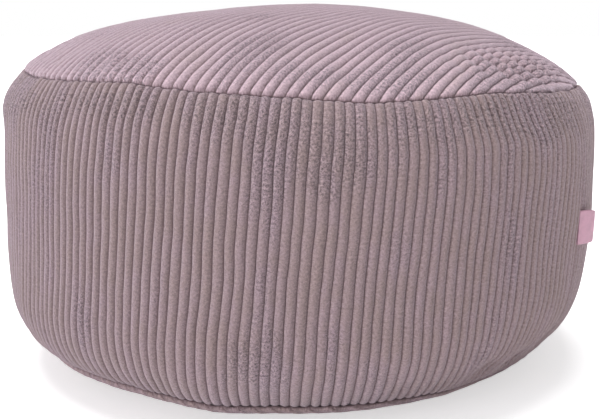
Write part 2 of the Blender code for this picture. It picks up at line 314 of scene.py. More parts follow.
def finishPiece(name, mesh, material, node):
    piece = fromMesh(name, mesh)
    piece.data.shade_smooth()
    piece.data.materials.append(material)
    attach(piece, "root")
    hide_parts(node)
    return piece


def addThickness(piece, thickness, offset=-1):
    solid = piece.modifiers.new("Thickness", "SOLIDIFY")
    solid.thickness = thickness
    solid.offset = offset


# Cloth finishes
def mathNode(tree, operation, first, second=None, third=None):
    node = tree.nodes.new("ShaderNodeMath")
    node.operation = operation
    for socket, value in zip(node.inputs, (first, second, third)):
        if isinstance(value, (int, float)):
            socket.default_value = value
        elif value is not None:
            tree.links.new(value, socket)
    return node.outputs[0]


def rampNode(tree, factor, low, high, lowValue=0.0, highValue=1.0):
    node = tree.nodes.new("ShaderNodeMapRange")
    node.interpolation_type = "SMOOTHSTEP"
    node.inputs["From Min"].default_value = low
    node.inputs["From Max"].default_value = high
    node.inputs["To Min"].default_value = lowValue
    node.inputs["To Max"].default_value = highValue
    tree.links.new(factor, node.inputs["Value"])
    return node.outputs["Result"]


def noiseNode(tree, vector, scale, stretch=(1, 1, 1), detail=2.0, roughness=0.55):
    mapping = tree.nodes.new("ShaderNodeMapping")
    mapping.inputs["Scale"].default_value = stretch
    tree.links.new(vector, mapping.inputs["Vector"])
    node = tree.nodes.new("ShaderNodeTexNoise")
    node.inputs["Scale"].default_value = scale
    node.inputs["Detail"].default_value = detail
    node.inputs["Roughness"].default_value = roughness
    tree.links.new(mapping.outputs["Vector"], node.inputs["Vector"])
    return node.outputs["Fac"]


def mixColour(tree, factor, first, second):
    node = tree.nodes.new("ShaderNodeMix")
    node.data_type = "RGBA"
    tree.links.new(factor, node.inputs["Factor"])
    for socket, value in ((node.inputs[6], first), (node.inputs[7], second)):
        if isinstance(value, tuple):
            socket.default_value = (*value, 1.0)
        else:
            tree.links.new(value, socket)
    return node.outputs[2]


def scaleColour(tree, colour, amount):
    node = tree.nodes.new("ShaderNodeVectorMath")
    node.operation = "SCALE"
    if isinstance(colour, tuple):
        node.inputs[0].default_value = colour
    else:
        tree.links.new(colour, node.inputs[0])
    tree.links.new(amount, node.inputs["Scale"])
    return node.outputs[0]


def addRelief(tree, shader, height, strength, distance):
    relief = tree.nodes.new("ShaderNodeBump")
    relief.inputs["Strength"].default_value = strength
    relief.inputs["Distance"].default_value = distance
    tree.links.new(height, relief.inputs["Height"])
    tree.links.new(relief.outputs["Normal"], shader.inputs["Normal"])


def splitNode(tree, vector):
    node = tree.nodes.new("ShaderNodeSeparateXYZ")
    tree.links.new(vector, node.inputs[0])
    return node.outputs


def attributeNode(tree, name):
    node = tree.nodes.new("ShaderNodeAttribute")
    node.attribute_name = name
    return node.outputs["Fac"]


def uvNode(tree, name):
    node = tree.nodes.new("ShaderNodeUVMap")
    node.uv_map = name
    return node.outputs["UV"]


corduroy = {
    "cool": (0.392, 0.288, 0.316),      # pile brushed towards the light
    "warm": (0.352, 0.261, 0.254),      # pile brushed away from it
    "crushed": (0.200, 0.140, 0.136),
    # painted shade colour for the grooves between the ribs
    "groove": (0.225, 0.158, 0.162),
    # noise in ribs: scale, stretch, detail, roughness
    "ribTones": (1.0, (7.13, 1.0, 1.0), 1.0, 0.55),
    "brushedPatches": (0.20, (1.0, 0.40, 1.0), 3.0, 0.6),
    "smallPatches": (0.7, (1.0, 0.5, 1.0), 3.0, 0.65),
    "marks": (0.55, (1.0, 0.55, 1.0), 4.0, 0.7),
    "flecks": (4.6, (1.0, 0.9, 1.0), 3.0, 0.8),
    "fineFlecks": (10.0, (1.0, 0.8, 1.0), 2.0, 0.55),
    "ribToneLength": 0.16,              # how fast a rib's own tone changes along it
    "toneShares": (0.08, 0.56, 0.36),   # of the rib's own tone, the brushed and the small patches
    "coolRange": (0.36, 0.64),
    "ruffledWhere": 0.34,               # how much a ruffled place of the panel adds to the noise
    "ruffledRange": (0.54, 0.74),
    "crushedRange": (0.54, 0.72, 0.0, 0.36),
    "fleckContrast": (2.9, 1.7),        # on ruffled pile besides, and everywhere
    # where the painted flank light and shade run across each rib
    "paintedFlankRange": (0.15, 0.90),
    "paintedGrooveShadeRange": (0.05, 0.75),        # painted groove shade, by the rib's height, with flecks on its edge
    "grooveShadeFlecks": 1.2,
    "pileBump": (0.7, 0.0010, 0.35),    # strength, distance, share of the fine flecks
    "roughness": 0.92,
    "specular": 0.15,
    # painted light level of the panel, its painted rise per metre to the right, painted lean to the
    # cool tone, painted lit and shaded flank, sheen, its roughness and tint
    "side": (0.90, 0.0, -0.03, (1.12, 0.82), 0.55, 0.50, (0.90, 0.80, 0.92)),
    "top": (1.28, 0.22, 0.12, (0.80, 1.15), 0.65, 0.50, (0.95, 0.84, 0.97)),
    "base": (1.05, 0.0, -0.03, (1.15, 0.75), 0.40, 0.50, (0.90, 0.80, 0.92)),
}


def makeCorduroy(name, panel):
    # the UV map counts ribs across and along, and ribHeight runs from groove to crest
    paintedLightLevel, paintedLightRise, paintedCoolLean, paintedFlankLights, sheen, sheenRoughness, sheenTint = corduroy[panel]
    material = bpy.data.materials.new(name)
    material.use_nodes = True
    tree = material.node_tree
    shader = tree.nodes["Principled BSDF"]
    uv = uvNode(tree, "wales")
    rib = attributeNode(tree, "ribHeight")
    ruffledHere = attributeNode(tree, "ruffled")
    split = splitNode(tree, uv)

    # each rib has a tone of its own, which changes slowly along it
    stepped = tree.nodes.new("ShaderNodeCombineXYZ")
    tree.links.new(mathNode(tree, "FLOOR", split["X"]), stepped.inputs["X"])
    slow = mathNode(tree, "MULTIPLY", split["Y"], corduroy["ribToneLength"])
    tree.links.new(slow, stepped.inputs["Y"])
    ribTone = noiseNode(tree, stepped.outputs[0], *corduroy["ribTones"])
    brushed = noiseNode(tree, uv, *corduroy["brushedPatches"])
    small = noiseNode(tree, uv, *corduroy["smallPatches"])
    ribShare, brushedShare, smallShare = corduroy["toneShares"]
    blended = mathNode(tree, "MULTIPLY", brushed, brushedShare)
    blended = mathNode(tree, "MULTIPLY_ADD", ribTone, ribShare, blended)
    blended = mathNode(tree, "MULTIPLY_ADD", small, smallShare, blended)
    # the panel's painted lean to the cool tone: the top painted cooler, as if under cool light, the side
    # painted warmer
    coolFrom, coolTo = corduroy["coolRange"]
    cool = rampNode(tree, blended, coolFrom - paintedCoolLean, coolTo - paintedCoolLean)
    colour = mixColour(tree, cool, corduroy["warm"], corduroy["cool"])

    # pile that is ruffled shows dark and bright tips, and brushed pile hardly any
    ruffles = mathNode(tree, "MULTIPLY_ADD", ruffledHere, corduroy["ruffledWhere"], brushed)
    ruffled = rampNode(tree, ruffles, *corduroy["ruffledRange"])
    marks = noiseNode(tree, uv, *corduroy["marks"])
    crushed = mathNode(tree, "MULTIPLY", rampNode(tree, marks, *corduroy["crushedRange"]), ruffled)
    colour = mixColour(tree, crushed, colour, corduroy["crushed"])
    flecks = noiseNode(tree, uv, *corduroy["flecks"])
    contrast = mathNode(tree, "MULTIPLY_ADD", ruffled, *corduroy["fleckContrast"])
    fleck = mathNode(tree, "SUBTRACT", flecks, 0.5)
    fleckTone = mathNode(tree, "MULTIPLY_ADD", fleck, contrast, 1.0)
    # painted light on the ribs: one flank of each rib is painted lit, and the other painted shaded
    paintedFlankLight = rampNode(tree, mathNode(tree, "FRACT", split["X"]), *corduroy["paintedFlankRange"], *paintedFlankLights)
    # painted light for each panel: the top painted lighter than the side, and lighter towards the right
    spot = splitNode(tree, tree.nodes.new("ShaderNodeTexCoord").outputs["Object"])
    paintedPanelLight = mathNode(tree, "MULTIPLY_ADD", spot["X"], paintedLightRise, paintedLightLevel)
    tone = mathNode(tree, "MULTIPLY", mathNode(tree, "MULTIPLY", fleckTone, paintedFlankLight), paintedPanelLight)
    colour = scaleColour(tree, colour, tone)
    # painted shade in the grooves between the ribs, where the rib's height is low
    grooveShadeEdge = mathNode(tree, "MULTIPLY_ADD", fleck, corduroy["grooveShadeFlecks"], rib)
    depth = rampNode(tree, grooveShadeEdge, *corduroy["paintedGrooveShadeRange"])
    colour = mixColour(tree, depth, corduroy["groove"], colour)
    tree.links.new(colour, shader.inputs["Base Color"])

    strength, distance, fineShare = corduroy["pileBump"]
    fine = mathNode(tree, "MULTIPLY", noiseNode(tree, uv, *corduroy["fineFlecks"]), fineShare)
    addRelief(tree, shader, mathNode(tree, "MULTIPLY_ADD", flecks, contrast, fine), strength, distance)

    shader.inputs["Roughness"].default_value = corduroy["roughness"]
    shader.inputs["Specular IOR Level"].default_value = corduroy["specular"]
    shader.inputs["Sheen Weight"].default_value = sheen
    shader.inputs["Sheen Roughness"].default_value = sheenRoughness
    shader.inputs["Sheen Tint"].default_value = (*sheenTint, 1.0)
    material.diffuse_color = (*corduroy["cool"], 1.0)
    return material


# one cloth in three copies, lit and shaded by painted light: the top painted lighter and cooler, the side
# darker and warmer
sideCloth = makeCorduroy("sideCorduroy", "side")
topCloth = makeCorduroy("topCorduroy", "top")
baseCloth = makeCorduroy("baseCorduroy", "base")
print("materials made")


# the cover without its ribs, blown up by its beads between the seams that hold it
filling = {
    "columns": 180,
    "baseRows": (0.05, 0.30, 0.55, 0.70, 0.82, 0.91, 0.96, 0.985),
    "sideRows": 41,
    "crownRows": (0.985, 0.96, 0.92, 0.86, 0.78, 0.68, 0.56, 0.44, 0.32, 0.20, 0.10, 0.04),
    "voxel": 0.0065,
    "pressure": 4.0,
    "pressurePatches": (0.75, 0.5, 0.09),  # its share: middle, the most up or down, patch size
    "slack": 0.006,                     # spare cloth everywhere
    "gathered": 0.035,                  # spare cloth where it is gathered at a seam
    # gathered places of the seams: azimuth, half width in degrees
    "gathers": ((44, 16), (-95, 20), (176, 26), (238, 14)),
    "gatherReach": 0.05,                # how far from its seam a gathered place ends
    "gatherPatches": (0.7, 0.6, 0.03),
    "quality": 6,                       # of the simulation, with its damping and its cloth
    "damping": 3,
    "mass": 0.35,
    "bending": 0.8,
    "frames": 20,
    "cap": 0.006,                       # the furthest that a point may move
    "heldNear": 0.004,                  # the cloth is held this near to a seam, and free from the next
    "heldTo": 0.016,
    "onFloor": 0.004,                   # lower than this it lies on the floor
    "band": 0.012,                      # height of the bands whose mean swelling is taken off
    "kept": 0.8,                        # share of the unevenness that the ribbed pieces take over
    "neighbours": 6,                    # points that a ribbed place takes it from, by their distance
    "blend": 0.00002,
}


def coverPlaces(columns):
    azimuth = turn * np.arange(columns + 1) / columns
    rows = [baseSpot(share, azimuth) for share in filling["baseRows"]]
    rows += [sideSpot(azimuth, share) for share in np.linspace(0, 1, filling["sideRows"])]
    rows += [crownSpot(share, azimuth) for share in filling["crownRows"]]
    return np.stack(rows)


def makeCover():
    columns = filling["columns"]
    places = coverPlaces(columns)
    mesh = bmesh.new()
    grid = bmesh.ops.create_grid(mesh, x_segments=columns, y_segments=len(places) - 1, size=0.5)
    for vertex in grid["verts"]:
        column = round((vertex.co.x + 0.5) * columns)
        row = round((vertex.co.y + 0.5) * (len(places) - 1))
        vertex.co = places[row, column]
    bmesh.ops.remove_doubles(mesh, verts=mesh.verts, dist=0.00001)
    bmesh.ops.holes_fill(mesh, edges=[edge for edge in mesh.edges if edge.is_boundary])
    bmesh.ops.recalc_face_normals(mesh, faces=mesh.faces)
    cover = fromMesh("cover", mesh)
    even = cover.modifiers.new("Even", "REMESH")
    even.mode = "VOXEL"
    even.voxel_size = filling["voxel"]
    seen = cover.evaluated_get(bpy.context.evaluated_depsgraph_get())
    cover.data = bpy.data.meshes.new_from_object(seen)
    cover.modifiers.clear()
    return cover


def readPlaces(data):
    places = np.empty(len(data.vertices) * 3)
    data.vertices.foreach_get("co", places)
    return places.reshape(-1, 3)


def addGroup(piece, name, weights):
    group = piece.vertex_groups.new(name=name)
    for index, weight in enumerate(weights.tolist()):
        group.add((index,), weight, "REPLACE")


def blowUp():
    # each place of the smooth cover, and how far the beads push it out or let it sink
    cover = makeCover()
    before = readPlaces(cover.data)
    normals = np.empty(before.size)
    cover.data.vertices.foreach_get("normal", normals)
    normals = normals.reshape(-1, 3)
    lean = bag["lean"] * (before[:, 2] - bag["leanPivot"])
    x = before[:, 0] - bag["shift"][0] - lean
    y = before[:, 1] - bag["shift"][1]
    radius = np.hypot(x, y)
    azimuth = np.arctan2(x, -y)
    fromTop = np.hypot(radius - bag["seamRadius"], before[:, 2] - topSeamHeight(azimuth))
    edge = bag["baseRadius"] * (1 + footShape(azimuth))
    fromBase = np.hypot(radius - edge, before[:, 2] - baseSeamHeight(azimuth))
    fromSeam = np.minimum(fromTop, fromBase)
    held = 1 - ease((fromSeam - filling["heldNear"]) / (filling["heldTo"] - filling["heldNear"]))
    held = np.where(before[:, 2] < filling["onFloor"], 1.0, held)
    addGroup(cover, "held", held)
    addGroup(cover, "beads", np.clip(patchy(before, filling["pressurePatches"], 21), 0, 1))
    gathered = np.zeros(len(before))
    for centre, halfWidth in filling["gathers"]:
        gathered = gathered + bump(azimuth, centre, halfWidth)
    gathered = gathered * np.exp(-(fromSeam / filling["gatherReach"]) ** 2)
    gathered = gathered * patchy(before, filling["gatherPatches"], 22)
    addGroup(cover, "gathered", np.clip(gathered, 0, 1))

    cloth = cover.modifiers.new("Beads", "CLOTH")
    cloth.settings.quality = filling["quality"]
    cloth.settings.mass = filling["mass"]
    cloth.settings.air_damping = filling["damping"]
    cloth.settings.bending_stiffness = filling["bending"]
    cloth.settings.use_pressure = True
    cloth.settings.uniform_pressure_force = filling["pressure"]
    cloth.settings.vertex_group_pressure = "beads"
    cloth.settings.vertex_group_mass = "held"
    cloth.settings.shrink_min = -filling["slack"]
    cloth.settings.vertex_group_shrink = "gathered"
    cloth.settings.shrink_max = -filling["gathered"]
    cloth.settings.effector_weights.gravity = 0
    cloth.collision_settings.use_collision = False
    cloth.point_cache.frame_start = 1
    cloth.point_cache.frame_end = filling["frames"]
    for number in range(1, filling["frames"] + 1):
        bpy.context.scene.frame_set(number)
    seen = cover.evaluated_get(bpy.context.evaluated_depsgraph_get())
    moved = readPlaces(seen.data) - before
    bpy.context.scene.frame_set(1)
    bpy.data.objects.remove(cover)

    # the swelling that is the same all the way round is in the body's own sizes already
    out = np.clip((moved * normals).sum(axis=1), -filling["cap"], filling["cap"])
    # up the side, and on over the top towards its middle
    band = filling["band"]
    highest = bag["topSeam"] + bag["seamRadius"]
    level = np.where(before[:, 2] > topSeamHeight(azimuth), highest - radius, before[:, 2])
    steps = np.arange(0, highest + band, band)
    number = np.clip((level / band).astype(int), 0, len(steps) - 1)
    count = np.maximum(np.bincount(number, minlength=len(steps)), 1)
    mean = np.bincount(number, weights=out, minlength=len(steps)) / count
    out = (out - np.interp(level, steps + band / 2, mean)) * filling["kept"] * (1 - held)
    print("cover blown up: %d points, %.1f to %.1f mm" % (len(out), out.min() * 1000, out.max() * 1000))
    near = KDTree(len(before))
    for index, place in enumerate(before.tolist()):
        near.insert(place, index)
    near.balance()
    return near, out.tolist()


def beadLumps(places):
    # the blown-up cover's unevenness at any places near to it
    if cover is None:
        return np.zeros(places.shape[:-1])
    near, out = cover
    found = []
    for place in places.reshape(-1, 3).tolist():
        total = 0.0
        value = 0.0
        for point, index, distance in near.find_n(place, filling["neighbours"]):
            weight = 1 / (distance * distance + filling["blend"])
            total += weight
            value += weight * out[index]
        found.append(value / total)
    return np.array(found).reshape(places.shape[:-1])


# the filled body with the side panel round it
sidePanel = {
    "wales": 216,
    "across": (0.0, 0.06, 0.16, 0.32, 0.50, 0.68, 0.84, 0.94),  # columns on each wale
    "seamRows": (0.0, 0.0005, 0.0012, 0.0021, 0.0032, 0.0048, 0.0070, 0.0100, 0.0140),
    "middleRows": 37,
    "groove": 0.0024,
    "endLength": 0.0020,                # the ribs round down over this length at a seam
    "endDip": 0.0002,
    "closingDepth": 0.0016,             # the closing seam's groove, its half width in wales
    "closingWidth": 0.45,
    "twist": math.radians(2.9),         # of the wales from the base seam to the top seam
    "shearStart": 0.84,
    # sideways shear of the wales under the top seam: azimuth, half width in degrees, shift
    "shears": ((46, 24, 0.0130), (-95, 26, -0.0050), (170, 30, 0.0060)),
    # wales pulled sideways over the base seam: azimuth, half width in degrees, shift, height share
    "tucks": (
        (38, 6, 0.0090, 0.12), (57, 6, 0.0100, 0.13), (-150, 9, -0.0070, 0.14),
        (32, 22, -0.0110, 0.34), (-48, 20, 0.0035, 0.30),
    ),
    "tuckFade": 1.6,
    # folds: azimuth, height share, half width in degrees, half height as a share, depth
    "folds": (
        (38, 0.070, 4.0, 0.05, 0.0040), (48, 0.060, 3.5, 0.05, 0.0044),
        (59, 0.080, 4.0, 0.06, 0.0044), (84, 0.120, 9.0, 0.10, 0.0020), (132, 0.070, 8.0, 0.07, 0.0030),
        (176, 0.100, 9.0, 0.09, 0.0028), (228, 0.080, 8.0, 0.07, 0.0032),
        (40, 0.930, 12.0, 0.07, 0.0022), (205, 0.920, 13.0, 0.08, 0.0024),
        (-77, 0.885, 25.0, 0.075, -0.0040), (80, 0.910, 24.0, 0.09, -0.0018),
        (76, 0.540, 18.0, 0.15, -0.0026), (76, 0.270, 16.0, 0.09, 0.0016),
        (-74, 0.210, 14.0, 0.08, 0.0022),
    ),
    # ruffled pile: azimuth, height share, half width in degrees, half share, amount
    "ruffled": (
        (-8, 0.94, 9, 0.05, 0.8), (5, 0.82, 7, 0.12, 0.5), (25, 0.94, 9, 0.05, 0.9),
        (46, 0.93, 12, 0.06, 0.9), (-32, 0.94, 9, 0.04, 0.7), (-8, 0.18, 5, 0.09, 0.5),
        (-60, 0.92, 10, 0.06, 0.7), (150, 0.90, 20, 0.07, 0.7),
        (215, 0.60, 9, 0.18, 0.5), (100, 0.35, 8, 0.15, 0.5),
    ),
    "ruffledTop": 0.3,                  # more of it towards the top seam, over this height share
    "ruffledReach": 0.25,
    "ownHeight": 0.22,                  # how unequal the wales are in height
    "ownHeightSteps": (0.73, 3.0),      # how fast that changes from wale to wale, and up a wale
    "heldLength": 0.012,                # lumps and folds end over this length at a seam
    "wander": 0.0010,                   # how far a wale strays sideways
    "wanderLengths": (0.045, 0.018, 0.5),  # of long and short strays, and the share of the short
    "jitter": 0.035,                    # how unequal the wales are in width
    "unevenness": 0.0010,
    "lumps": (0.070, 0.030, 0.5),       # sizes of large and small ones, and the share of the small
    # rounds of the filling under the top and the base panel: how far below, shares of the round
    "underTop": (0.0076, (0.975, 0.88, 0.70, 0.45, 0.2)),
    "underBase": (0.0042, (0.975, 0.92, 0.84, 0.73, 0.60)),
}


def sideRows():
    near = np.array(sidePanel["seamRows"]) / bag["sideHeight"]
    middle = np.linspace(near[-1], 1 - near[-1], sidePanel["middleRows"] + 2)[1:-1]
    return np.concatenate((near, middle, (1 - near)[::-1]))


def waleShift(azimuth, share):
    shift = sidePanel["twist"] * (share - 0.5)
    rise = np.clip((share - sidePanel["shearStart"]) / (1 - sidePanel["shearStart"]), 0, 1)
    for centre, halfWidth, arc in sidePanel["shears"]:
        shift = shift - arc / bag["radius"] * rise * bump(azimuth, centre, halfWidth)
    for centre, halfWidth, arc, end in sidePanel["tucks"]:
        fall = np.clip(1 - share / end, 0, 1) ** sidePanel["tuckFade"]
        shift = shift - arc / bag["baseRadius"] * fall * bump(azimuth, centre, halfWidth)
    return shift


def sideGrid(azimuth, share):
    # the ribless side with its folds and the lumps of its beads
    places = sideSpot(azimuth, share)
    normals = outwardNormals(places, closed=True)
    away = np.minimum(share, 1 - share) * bag["sideHeight"]
    held = ease(away / sidePanel["heldLength"])
    sunk = np.zeros(azimuth.shape)
    for centre, middle, halfWidth, halfHeight, depth in sidePanel["folds"]:
        upright = np.exp(-((share - middle) / halfHeight) ** 2)
        sunk = sunk + depth * upright * bump(azimuth, centre, halfWidth)
    lumps = drifts(places, sidePanel["lumps"], 1, 2)
    sunk = sunk + sidePanel["unevenness"] * lumps - beadLumps(places)
    return places - normals * (sunk * held)[..., None]


def makeSidePanel():
    wales = sidePanel["wales"]
    perWale = len(sidePanel["across"])
    columns = wales * perWale
    shares = sideRows()
    rows = len(shares) - 1
    number = np.arange(columns) // perWale
    across = np.array(sidePanel["across"])[np.arange(columns) % perWale]
    edges = ribEdges(wales, sidePanel["jitter"], 5)
    straight = bag["closing"] + turn * np.interp(number + across, np.arange(wales + 1), edges) / wales
    azimuth = np.broadcast_to(straight, (rows + 1, columns))
    share = np.broadcast_to(shares[:, None], azimuth.shape)
    azimuth = azimuth + waleShift(azimuth, share)
    smooth = sideSpot(azimuth, share)
    stray = drifts(smooth, sidePanel["wanderLengths"], 3, 6)
    azimuth = azimuth + sidePanel["wander"] * stray / bag["radius"]

    places = sideGrid(azimuth, share)
    normals = outwardNormals(places, closed=True)
    away = np.minimum(share, 1 - share) * bag["sideHeight"]
    end = rounded(away, sidePanel["endLength"])
    aroundStep, upStep = sidePanel["ownHeightSteps"]
    along = np.stack(np.broadcast_arrays(number * aroundStep, share * upStep, 0.0), -1)
    ownHeight = 1 + sidePanel["ownHeight"] * drift(along, 1.0, 4)
    rib = ribProfile(across) * np.ones(azimuth.shape)
    sunk = sidePanel["groove"] * (1 - rib * end * ownHeight) + sidePanel["endDip"] * (1 - end)
    closingGap = np.minimum(number + across, wales - number - across)
    sunk = sunk + sidePanel["closingDepth"] * np.exp(-(closingGap / sidePanel["closingWidth"]) ** 2) * end
    places = places - normals * sunk[..., None]
    ruffled = patchAmount(sidePanel["ruffled"], azimuth, share)
    nearTop = np.exp(-((1 - share) / sidePanel["ruffledReach"]) ** 2)
    ruffled = ruffled + sidePanel["ruffledTop"] * nearTop

    # the grid runs once round, and its last column is welded to its first
    around = np.arange(columns + 1) % columns
    alongWale = share * bag["sideHeight"] * wales / (turn * bag["radius"])
    mesh = bmesh.new()
    laid = layGrid(mesh, places[:, around], (rib * end)[:, around], ruffled[:, around],
                   np.append(number + across, wales), alongWale[:, around])
    doubles = {laid[row, columns]: laid[row, 0] for row in range(rows + 1)}
    bmesh.ops.weld_verts(mesh, targetmap=doubles)
    closeBody(mesh)
    bmesh.ops.recalc_face_normals(mesh, faces=mesh.faces)
    return finishPiece("sidePanel", mesh, sideCloth, "side_panel")


def closeBody(mesh):
    # the hidden filling under the top and base panels
    edges = [edge for edge in mesh.edges if edge.is_boundary]
    highest = [edge for edge in edges if edge.verts[0].co.z > bag["topSeam"] / 2]
    lowest = [edge for edge in edges if edge.verts[0].co.z <= bag["topSeam"] / 2]
    for ring, spot, (below, shares) in (
        (highest, crownSpot, sidePanel["underTop"]), (lowest, baseSpot, sidePanel["underBase"]),
    ):
        for share in shares:
            made = bmesh.ops.create_circle(mesh, segments=sidePanel["wales"], radius=0.2)["verts"]
            for vertex in made:
                azimuth = math.atan2(vertex.co.x, -vertex.co.y)
                vertex.co = spot(np.float64(share), np.float64(azimuth), below)
            circle = list({edge for vertex in made for edge in vertex.link_edges})
            bmesh.ops.bridge_loops(mesh, edges=ring + circle)
            ring = circle
        bmesh.ops.contextual_create(mesh, geom=ring)


def ribLines(panel):
    # where each count of ribs lies across the round, from -1 to 1, gathered towards one rim
    across = np.linspace(-1, 1, 801)
    pitch = 1 - panel["gather"] * np.exp(-((across + 1) / panel["gatherWidth"]) ** 2)
    count = np.concatenate(((0.0,), np.cumsum(2 / (pitch[1:] + pitch[:-1]))))
    return across, count / count[-1] * panel["wales"]


def fitDisc(mesh, panel, relief):
    # the round panels share one way of fitting a grid to a disc
    wales = panel["wales"]
    perWale = len(panel["across"])
    columns = wales * perWale
    levels = np.array(panel["levels"])
    count = np.arange(columns + 1)
    position = count // perWale + np.array(panel["across"])[count % perWale]
    position[-1] = wales
    lines, lineCount = ribLines(panel)
    edges = ribEdges(wales, panel["jitter"], 8)
    across = np.interp(np.interp(position, np.arange(wales + 1), edges), lineCount, lines)
    half = np.sqrt(np.clip(1 - across ** 2, 0, 1))
    along = panel["places"](levels[:, None], across[None, :], half[None, :])
    across = np.broadcast_to(across, along.shape)
    direction = math.radians(panel["direction"])
    x = along * math.cos(direction) - across * math.sin(direction)
    y = along * math.sin(direction) + across * math.cos(direction)
    share = np.minimum(1.0, np.hypot(x, y))
    azimuth = np.arctan2(x, -y)
    rib = np.broadcast_to(ribProfile(position % 1), along.shape)
    places, rib = relief(share, azimuth, rib)
    ruffled = patchAmount(panel["ruffled"], azimuth, share)

    layGrid(mesh, places, rib, ruffled, position + panel["firstRib"], along * wales / 2)
    bmesh.ops.remove_doubles(mesh, verts=mesh.verts, dist=0.000002)
    bmesh.ops.recalc_face_normals(mesh, faces=mesh.faces)


topPanel = {
    "wales": 62,
    "firstRib": 300,                    # its ribs count on from here, past those of the side
    "across": (0.0, 0.07, 0.21, 0.40, 0.60, 0.79, 0.93),
    "direction": 55,                    # degrees from +X: from the front left to the back right
    "gather": 0.24,                     # the ribs lie closer towards the right front rim
    "gatherWidth": 0.55,
    # ribs pulled round at the rim: azimuth, half width in degrees, reach, turn
    "pulled": (-24, 20, 0.060, 0.027),
    "jitter": 0.03,
    # rows along the ribs, closer where the puckers are
    "levels": np.interp(np.linspace(0, 1, 113), (0, 0.20, 0.60, 1), (-1, -0.50, 0.16, 1)),
    "places": lambda levels, across, half: half * np.sin(math.pi / 2 * levels),
    "groove": 0.0024,
    "endLength": 0.0018,
    "endDip": 0.0010,
    "tuck": 0.0003,
    "clothThickness": 0.0011,
    "unevenness": 0.0010,
    "lumps": (0.080, 0.030, 0.4),       # sizes of large and small ones, and the share of the small
    "flat": 0.512,                      # diameter that the round was cut to
    # puckers that cross the ribs near the seam:
    # azimuth, half width in degrees, share, half share, depth, how far the ribs are pressed flat
    "puckers": (
        (48, 14, 0.900, 0.085, 0.0050, 0.45), (-100, 24, 0.93, 0.045, 0.0010, 0.2),
        (190, 40, 0.94, 0.040, 0.0012, 0.2),
    ),
    "puckerPitch": 0.0220,
    "puckerPower": 1.5,                 # above 1 the creases are narrower than the puffs
    "puckerWaver": 0.3,                 # how unevenly they follow each other, and over what length
    "puckerWaverLength": 0.04,
    "heldLength": 0.020,                # lumps end over this length at the seam
    "heldPuckers": 0.006,               # and puckers and dents over these
    "heldDents": 0.004,
    # dents where a rib is pinched:
    # azimuth, share, half length along the seam and towards the middle, depth
    "dents": ((-38.8, 0.950, 0.0034, 0.009, 0.0015), (-36.2, 0.920, 0.0030, 0.008, 0.0014)),
    "ruffled": (
        (48, 0.93, 14, 0.07, 0.8), (-34, 0.95, 9, 0.05, 0.9), (10, 0.93, 20, 0.05, 0.6),
        (-8, 0.80, 12, 0.10, 0.5), (28, 0.80, 9, 0.08, 0.5), (170, 0.6, 25, 0.12, 0.5),
    ),
}


def topRelief(share, azimuth, rib):
    centre, halfWidth, reach, most = topPanel["pulled"]
    near = np.exp(-((1 - share) * bag["seamRadius"] / reach) ** 2)
    azimuth = azimuth + most * near * bump(azimuth, centre, halfWidth)
    places = crownSpot(share, azimuth)
    normals = -outwardNormals(places, closed=False)
    normals = normals * np.where(normals[..., 2:] < 0, -1, 1)
    # all places of the first column, and of the last, meet in one, which has no normal
    missing = np.linalg.norm(normals, axis=-1, keepdims=True) < 0.5
    normals = np.where(missing, np.array((0.0, 0.0, 1.0)), normals)
    away = (1 - share) * bag["seamRadius"]
    end = rounded(away, topPanel["endLength"])
    held = ease(away / topPanel["heldLength"])
    lumps = drifts(places, topPanel["lumps"], 11, 12)
    sunk = (topPanel["unevenness"] * lumps - beadLumps(places)) * held
    arc = azimuth * bag["seamRadius"]
    waver = topPanel["puckerWaver"] * drift(places, topPanel["puckerWaverLength"], 13)
    wave = 0.5 + 0.5 * np.cos(turn * (arc / topPanel["puckerPitch"] + waver))
    wave = wave ** topPanel["puckerPower"]
    for centre, halfWidth, middle, halfShare, depth, pressed in topPanel["puckers"]:
        strength = bump(azimuth, centre, halfWidth) * np.exp(-((share - middle) / halfShare) ** 2)
        strength = strength * wave * ease(away / topPanel["heldPuckers"])
        sunk = sunk + depth * strength
        rib = rib * (1 - pressed * strength)
    for centre, middle, halfArc, halfReach, depth in topPanel["dents"]:
        halfWidth = math.degrees(halfArc / bag["seamRadius"])
        reach = (share - middle) * bag["seamRadius"] / halfReach
        dent = bump(azimuth, centre, halfWidth) * np.exp(-reach ** 2)
        sunk = sunk + depth * (dent * ease(away / topPanel["heldDents"]))
    sunk = sunk + topPanel["groove"] * (1 - rib * end)
    places = places - normals * sunk[..., None]
    drop = 1 - end
    places[..., 2] -= topPanel["endDip"] * drop
    places[..., 0] -= topPanel["tuck"] * drop * np.sin(azimuth)
    places[..., 1] += topPanel["tuck"] * drop * np.cos(azimuth)
    return places, rib * end


baseCircles = (0.0, 0.62, 0.76, 0.85, 0.905, 0.940, 0.963, 0.979, 0.990, 0.9965, 1.0)


def basePlaces(levels, across, half):
    # rows that follow circles in the curved rim, and one stretch over the flat
    circle = np.array(baseCircles)[np.abs(levels).astype(int)]
    reach = np.sqrt(np.clip(circle ** 2 - across ** 2, 0, 1))
    return np.sign(levels) * reach


basePanel = {
    "wales": 60,
    "firstRib": 300,
    "across": (0.0, 0.08, 0.25, 0.50, 0.75, 0.92),
    "direction": 32,
    "gather": 0.0,
    "gatherWidth": 1.0,
    "jitter": 0.03,
    "levels": np.arange(1 - len(baseCircles), len(baseCircles)),
    "places": basePlaces,
    "flatShare": 0.563,                 # share of the round that lies on the floor
    "seamGap": 0.0003,
    "groove": 0.0024,
    "endLength": 0.0014,
    "clothThickness": 0.0011,
    "cut": 0.466,                       # diameter that the round was cut to
    "ruffled": (),
}


